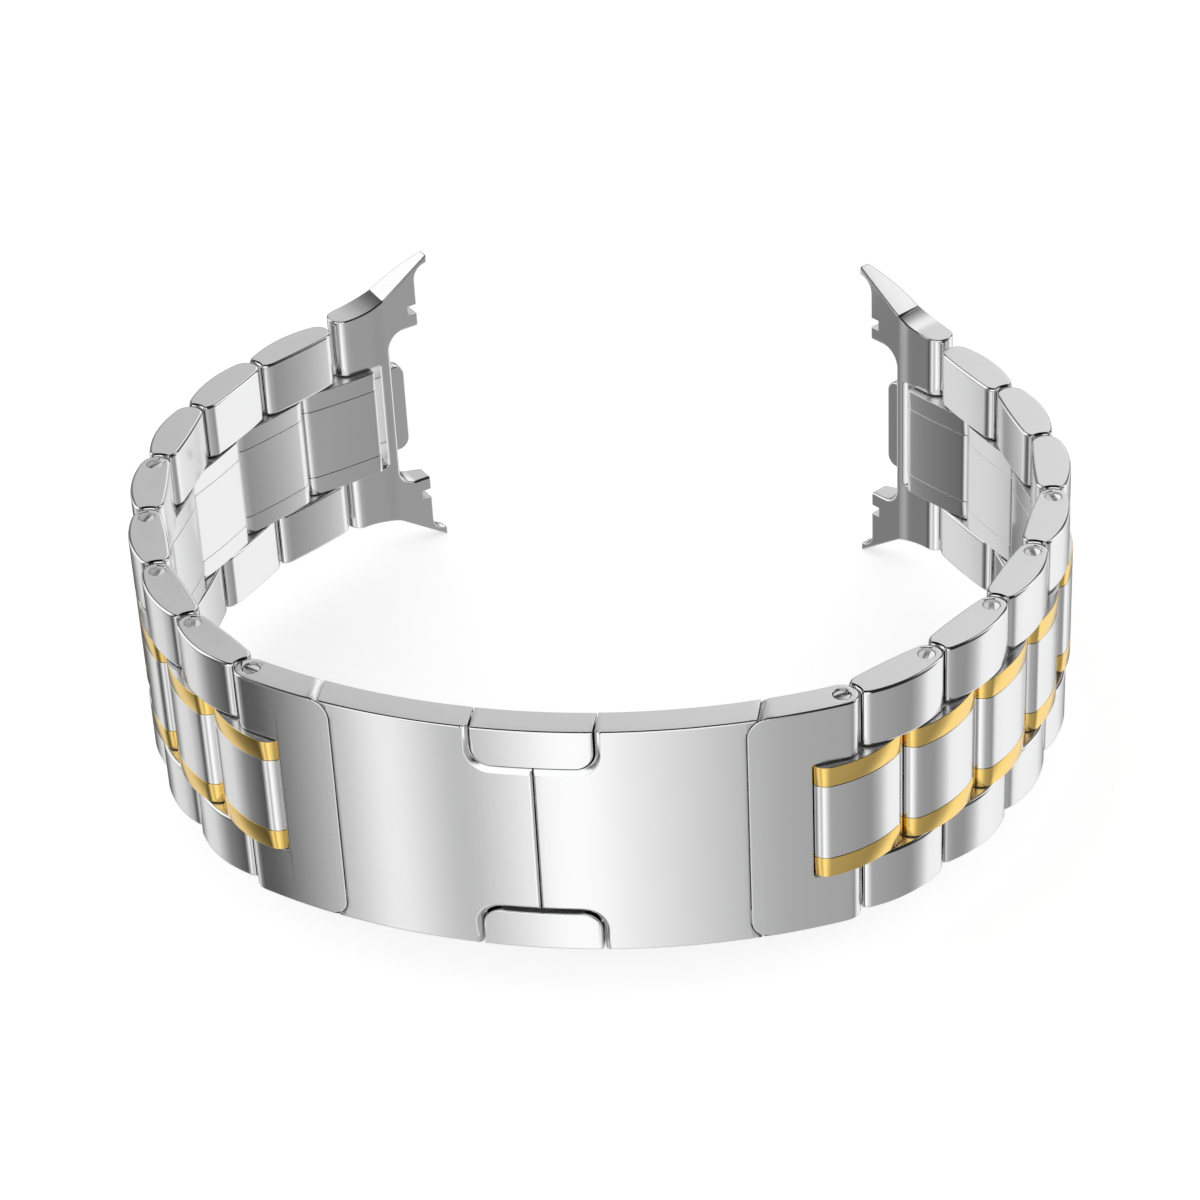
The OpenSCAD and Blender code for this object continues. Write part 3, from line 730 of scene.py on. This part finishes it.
# End links
endSizes = {
    "half": 10.5, "hornHalf": 14.3, "hornReach": 10.95, "hornEdge": 0.8, "flareStart": 3.0,
    "creaseReach": 6.5, "creaseHalf": 11.25, "earReach": 9.65, "earHalf": 12.2, "recessHalf": 7.7,
    "recessReach": 6.7, "recessRound": 1.6, "notchHalf": 9.4, "notchHigh": 0.9, "notchDeep": 0.9,
    "tongueLen": 1.4, "tongueHalf": 4.2, "tongueThick": 1.2, "tongueTop": 0.1, "tongueRound": 1,
    "start": 1.6, "round": 1.25, "flat": 0.65, "crown": 10.8, "crownAt": 5.2, "wall": 4.8, "slope": 0.95,
    "earStep": 0.1, "stepStart": 4.9, "stepEnd": 6.35, "rim": 0.15, "floorRim": 0.28, "notchRim": 0.05,
    "far": 20, "roomFar": 9, "crispAngle": 8,
}
# Where lines run across the curved faces, kept clear of the walls that are cut through them
flareLines = (3.0, 3.3, 3.6, 3.9, 4.2, 4.5, 5.0, 5.3, 5.6, 5.95, 6.2, 6.35)
crownLines = (2.7,) + flareLines + (7.1, 7.5, 7.9, 8.3, 8.85, 9.2, 10.0, 10.4)


def endPlan():
    e = endSizes
    near = (e["start"] + e["round"], e["flat"] - e["round"])
    lean = asin((e["crownAt"] - near[0]) / (e["crown"] - e["round"]))
    middle = (e["crownAt"], near[1] + (e["crown"] - e["round"]) * cos(lean))
    points = arc(near, e["round"], pi / 2, 1.5 * pi - lean, 20)
    for x in crownLines + (e["hornReach"],):
        points.append((x, middle[1] - sqrt(e["crown"] ** 2 - (x - middle[0]) ** 2)))
    points.append((e["hornReach"], e["flat"] - e["earStep"]))
    for x in reversed(flareLines):
        share = min(max((x - e["stepStart"]) / (e["stepEnd"] - e["stepStart"]), 0), 1)
        points.append((x, e["flat"] - e["earStep"] * share * share * (3 - 2 * share)))
    return points


# The upper half of the end link from the front
def endFront():
    e = endSizes
    length, rise = e["creaseReach"] - e["flareStart"], e["creaseHalf"] - e["half"]
    flare = (length ** 2 + rise ** 2) / 2 / rise
    points = [(0, e["half"])]
    for x in flareLines + (e["creaseReach"],):
        points.append((x, e["half"] + flare - sqrt(flare ** 2 - (x - e["flareStart"]) ** 2)))
    blunt, ear = (e["hornReach"], e["hornHalf"] - e["hornEdge"]), (e["earReach"], e["earHalf"])
    hornRound = ((blunt[0] - ear[0]) ** 2 + (blunt[1] - ear[1]) ** 2) / 2 / (blunt[0] - ear[0])
    hornStart = pi - asin((blunt[1] - ear[1]) / hornRound)
    points.append((e["hornReach"], e["hornHalf"]))
    points += arc((ear[0] + hornRound, ear[1]), hornRound, hornStart, pi, 12)
    for z in (e["notchHalf"] + e["notchHigh"] / 2, e["notchHalf"] - e["notchHigh"] / 2):
        sunk = [(ear[0], z), (ear[0] - e["notchDeep"], z)]
        points += sunk if z > e["notchHalf"] else reversed(sunk)
    points.append((ear[0], e["recessHalf"]))
    corner = (e["recessReach"] + e["recessRound"], e["recessHalf"] - e["recessRound"])
    return points + arc(corner, e["recessRound"], pi / 2, pi, 14)


def makeEnd(side):
    e = endSizes
    body = side + "_end"
    seat = next(m for m in frame["record"]["mounts"] if m["name"] == side + "_upper_ear_face")
    turn, angle = facing(side, Vector(seat["axis"]))
    makeCentre(side, body, endShapes, hinges[body], turn, body)
    profile = endFront()
    solid = prism([profile + [(x, -z) for x, z in reversed(profile)]], -e["far"], e["far"], True)
    solid = worked(solid, "INTERSECT", prism([endPlan()], -e["far"], e["far"]))
    top = e["wall"] + e["slope"]
    reach = e["recessReach"] + e["tongueLen"]
    centre = (reach - e["tongueRound"], e["tongueHalf"] - e["tongueRound"])
    corner = arc(centre, e["tongueRound"], pi / 2, 0, 12)
    half = [(top, e["tongueHalf"])] + corner
    plate = half + [(x, -z) for x, z in reversed(half)]
    solid = worked(solid, "UNION", prism([plate], e["tongueTop"] - e["tongueThick"], e["tongueTop"], True))
    far = e["roomFar"]
    room = [(-far, -far), (e["wall"], -far), (e["wall"], e["flat"] - e["slope"]), (top, e["flat"]),
            (top, far), (-far, far)]
    solid = worked(solid, "DIFFERENCE", prism([room], -linkSizes["sideIn"], linkSizes["sideIn"]))

    def rimAt(at):
        byNotch = abs(abs(at.z) - e["notchHalf"]) < e["notchHigh"] / 2 + onFace
        if byNotch and at.x > e["earReach"] - e["notchDeep"] - onFace:
            return e["notchRim"]
        inReach = e["recessReach"] - byWall < at.x < e["earReach"] - onFace
        if inReach and abs(at.z) < e["recessHalf"] + onFace and at.y > e["tongueTop"] + byWall:
            return e["floorRim"]
        return e["rim"]

    place = Matrix.Translation(hinges[body]) @ Euler(turn).to_matrix().to_4x4()
    solid = rimmed(solid, side + "_endLink", "polishedSteel", place, rimAt, False, e["crispAngle"])
    finishPiece([solid], side + "_endLink", body, side + "_end_link")


for side in sides:
    for i in range(linkSizes["count"], 0, -1):
        makeLink(side, i)
    makeEnd(side)
print("links ready")


# Clasp, worked flat: x runs along its outer face from the middle, y goes in from that face, z is the height
claspSizes = {
    "radius": 51.2, "thick": 2.6, "halfWidth": 10, "tipHalf": 22, "seam": 15.4, "seamGap": 0.07,
    "seamRound": 1.55, "plate": 0.9, "skirt": 1, "cornerReach": 16.2, "hollowReach": 20, "foldDepth": 1.75,
    "foldIn": 5.2, "foldOut": 13.4, "knuckle": 0.7, "foldPin": 0.35, "foldPinShort": 0.1, "lugIn": 2.1,
    "lugLen": 2.7, "tangThick": 1.2, "tangLen": 1.05, "tangHalf": 8, "socketHalf": 5.1, "baseDepth": 2.7,
    "baseThick": 1, "baseHalf": 8.8, "baseLugIn": 4.1, "recessIn": 6.48, "recessX": 4.62, "recessRound": 1.55,
    "chamfer": 0.42, "chamferOut": -0.2, "chamferDeep": 0.3, "rim": 0.17, "thinRim": 0.05, "seamRim": 0.1,
    "middleRim": 0.18, "baseRim": 0.12, "pinRim": 0.03, "outside": -1, "inside": 4, "beyond": 11, "farEnd": 26,
}
buttonSizes = {
    "half": 4.5, "high": 3.3, "thick": 2.55, "round": 1.45, "slideHalf": 3.5, "slideThick": 0.4,
    "slideDepth": 2.08, "hookStart": 2.6, "hookThick": 0.5, "lipThick": 0.35, "lipDepth": 1.1, "rim": 0.1,
    "catchIn": 3.7, "catchTop": 0.45, "catchDepth": 1.9, "catchX": 0.6, "catchWidth": 2.8,
    "stemLong": 0.7, "lipLong": 1,
}
claspPlace = Matrix.Translation((0, cadBox[0].y, middle))


def band(top, bottom, start, stop):
    corners = ((start, top), (stop, top), (stop, bottom), (start, bottom))
    return [(unrolled(x, deep), deep) for x, deep in corners]


def sided(side, points):
    return [(-x, y) for x, y in points] if side == "left" else points


def ring(at, radius):
    return arc(at, radius, 0, 2 * pi, 40)[:-1]


def block(side, outline, low, high):
    return prism([sided(side, outline)], low, high)


# A front outline taken through the clasp's whole thickness
def through(outline):
    return prism([outline], claspSizes["outside"], claspSizes["inside"], True, True)


# The front view of a clasp end at its seam, grown by a gap
def seamFront(grow):
    c = claspSizes
    at = (c["seam"] + c["seamGap"] / 2 + c["seamRound"], c["halfWidth"] - c["seamRound"])
    corner = arc(at, c["seamRound"] + grow, pi / 2, pi, 16)
    half = [(c["farEnd"], corner[0][1])] + corner
    return half + [(x, -z) for x, z in reversed(half)]


def makeClaspEnd(side):
    c = claspSizes
    half = c["thick"] / 2
    tip = (unrolled(c["tipHalf"], half), half)
    seamX = c["seam"] + c["seamGap"] / 2
    plan = [(unrolled(seamX, 0), 0)] + arc(tip, half, -pi / 2, pi / 2, 20)
    plan.append((unrolled(seamX, c["thick"]), c["thick"]))
    end = block(side, plan, -c["halfWidth"], c["halfWidth"])
    end = worked(end, "INTERSECT", through(sided(side, seamFront(0))))
    tang = band(c["plate"], c["plate"] + c["tangThick"], c["seam"] - c["tangLen"], c["seam"] + c["seamRound"])
    end = worked(end, "UNION", block(side, tang, -c["tangHalf"], c["tangHalf"]))
    end = worked(end, "DIFFERENCE", block(side, ring(tip, socket), -c["socketHalf"], c["socketHalf"]))
    bore = linkSizes["head"] + linkSizes["headGap"]
    boreEnd = c["halfWidth"] - linkSizes["boreDeep"]
    end = worked(end, "DIFFERENCE", block(side, ring(tip, bore), boreEnd, c["beyond"]))

    def rimAt(at):
        x, top = abs(at.x), abs(at.z) > c["halfWidth"] - onFace
        if Vector((x - tip[0], at.y - tip[1])).length < bore + onRound:
            return c["thinRim"]
        if x < unrolled(c["seam"] + c["seamRound"], 0) - onRound and not top:
            return c["seamRim"] if at.y < onFace else c["thinRim"]
        return c["rim"] if at.y < half or abs(at.z) < c["socketHalf"] + byWall else c["seamRim"]

    end = rimmed(end, side + "_claspEnd", "brushedSteel", claspPlace, rimAt, True)
    parts = [end] + makePin("pin", hinges[side + "_link_7"], 0, side, True)
    finishPiece(parts, side + "_claspEnd", side + "_cover", side + "_clasp_end")


def makeCover(side):
    c, b = claspSizes, buttonSizes
    whole = band(0, c["thick"], c["seamGap"] / 2, c["cornerReach"])
    cover = block(side, whole, -c["halfWidth"], c["halfWidth"])
    inside = c["halfWidth"] - c["skirt"]
    hollow = band(c["plate"], c["thick"] + 1, -1, c["hollowReach"])
    cover = worked(cover, "DIFFERENCE", block(side, hollow, -inside, inside))
    cover = worked(cover, "DIFFERENCE", through(sided(side, seamFront(c["seamGap"]))))
    centre = (c["recessX"] - c["recessRound"], c["recessIn"] + c["recessRound"])
    corner = arc(centre, c["recessRound"], -pi / 2, 0, 14)
    recess = [(-1, c["recessIn"])] + corner + [(c["recessX"], c["beyond"]), (-1, c["beyond"])]
    for shape in (recess, [(x, -z) for x, z in recess]):
        cover = worked(cover, "DIFFERENCE", through(sided(side, shape)))
        chamfer = prism([sided(side, shape)], c["chamferOut"], c["chamferDeep"], True, True,
                        c["chamfer"] / c["chamferDeep"])
        cover = worked(cover, "DIFFERENCE", chamfer)
    fold = (unrolled(c["foldIn"], c["foldDepth"]), c["foldDepth"])
    arm = band(c["plate"] / 2, c["foldDepth"], c["foldIn"] - c["knuckle"], c["foldIn"] + c["knuckle"])
    lugs = [ring(fold, c["knuckle"]), arm]
    lugEnd = c["lugIn"] + c["lugLen"]
    stem = b["catchIn"] + b["hookThick"]
    lipTop = b["catchDepth"] - b["lipThick"]
    catches = (((b["catchTop"], b["catchDepth"]), (stem, stem + b["stemLong"])),
               ((lipTop, b["catchDepth"]), (b["catchIn"], b["catchIn"] + b["lipLong"])))
    for way in (-1, 1):
        for lug in lugs:
            cover = worked(cover, "UNION", block(side, lug, way * c["lugIn"], way * lugEnd))
        for deep, span in catches:
            piece = band(*deep, b["catchX"], b["catchX"] + b["catchWidth"])
            cover = worked(cover, "UNION", block(side, piece, way * span[0], way * span[1]))

    def rimAt(at):
        x, z = abs(at.x), abs(at.z)
        if at.y > c["plate"] - byWall and z < inside + onFace:
            return c["thinRim"]
        if x < 2 * byWall and at.y < onFace:
            return c["middleRim"]
        if x < c["recessX"] + c["chamfer"] + byWall and z > c["recessIn"] - c["chamfer"] - byWall:
            return c["thinRim"]
        if x > c["seam"] - byWall:
            return c["seamRim"] if at.y < onFace else c["thinRim"]
        return c["rim"] if at.y < onFace else c["seamRim"]

    cover = rimmed(cover, side + "_coverPlate", "brushedSteel", claspPlace, rimAt, True)
    pinHalf = lugEnd - c["foldPinShort"]
    pin = block(side, ring(fold, c["foldPin"]), -pinHalf, pinHalf)
    pin = rimmed(pin, "pin", "pinSteel", claspPlace, lambda at: c["pinRim"], True)
    finishPiece([cover, pin], side + "_coverPlate", side + "_cover", side + "_cover")


def makeButton(name, way):
    c, b = claspSizes, buttonSizes
    low = c["halfWidth"] - b["high"]
    corner = arc((b["half"] - b["round"], low + b["round"]), b["round"], -pi / 2, 0, 14)
    face = corner + [(b["half"], c["beyond"]), (-b["half"], c["beyond"])]
    face += [(-x, z) for x, z in reversed(corner)]
    button = prism([band(0, b["thick"], -b["half"] - 1, b["half"] + 1)], way * low, way * c["halfWidth"])
    button = worked(button, "INTERSECT", through([(x, way * z) for x, z in face]))
    bottom = b["slideDepth"] + b["slideThick"]
    hook = b["hookStart"] + b["hookThick"]
    for top, deep, stop in ((b["slideDepth"], bottom, low + b["round"]), (b["lipDepth"], bottom, hook),
                            (b["lipDepth"], b["lipDepth"] + b["lipThick"], hook + b["lipThick"])):
        tongue = prism([band(top, deep, -b["slideHalf"], b["slideHalf"])], way * b["hookStart"], way * stop)
        button = worked(button, "UNION", tongue)

    def rimAt(at):
        if abs(at.z) > c["halfWidth"] - onFace and at.y < onFace:
            return c["rim"]
        return b["rim"] if abs(at.z) > low - onRound and at.y < onFace else c["thinRim"]

    button = rimmed(button, name, "brushedSteel", claspPlace, rimAt, True)
    finishPiece([button], name + "_piece", name, name)


def makeBase():
    c = claspSizes
    edge = c["foldOut"] + c["knuckle"]
    plate = band(c["baseDepth"], c["baseDepth"] + c["baseThick"], -edge, edge)
    base = prism([plate], -c["baseHalf"], c["baseHalf"])
    fold = (unrolled(c["foldOut"], c["foldDepth"]), c["foldDepth"])
    arm = band(c["foldDepth"], c["baseDepth"] + c["baseThick"] / 2, c["foldOut"] - c["knuckle"], edge)
    for side in sides:
        for way in (-1, 1):
            for shape in (ring(fold, c["knuckle"]), arm):
                lug = block(side, shape, way * c["baseLugIn"], way * c["baseHalf"])
                base = worked(base, "UNION", lug)
    base = rimmed(base, "base", "innerSteel", claspPlace, lambda at: c["baseRim"], True)
    finishPiece([base], "claspBase", "clasp_base", "clasp_base")


for side in sides:
    makeClaspEnd(side)
    makeCover(side)
makeButton("top_button", 1)
makeButton("bottom_button", -1)
makeBase()
for name in ("left_blade", "right_blade", "base_hinge_pins", "latch_housing", "button_spring"):
    nodes[name].data.materials.clear()
    nodes[name].data.materials.append(finish["innerSteel"])
print("clasp ready")
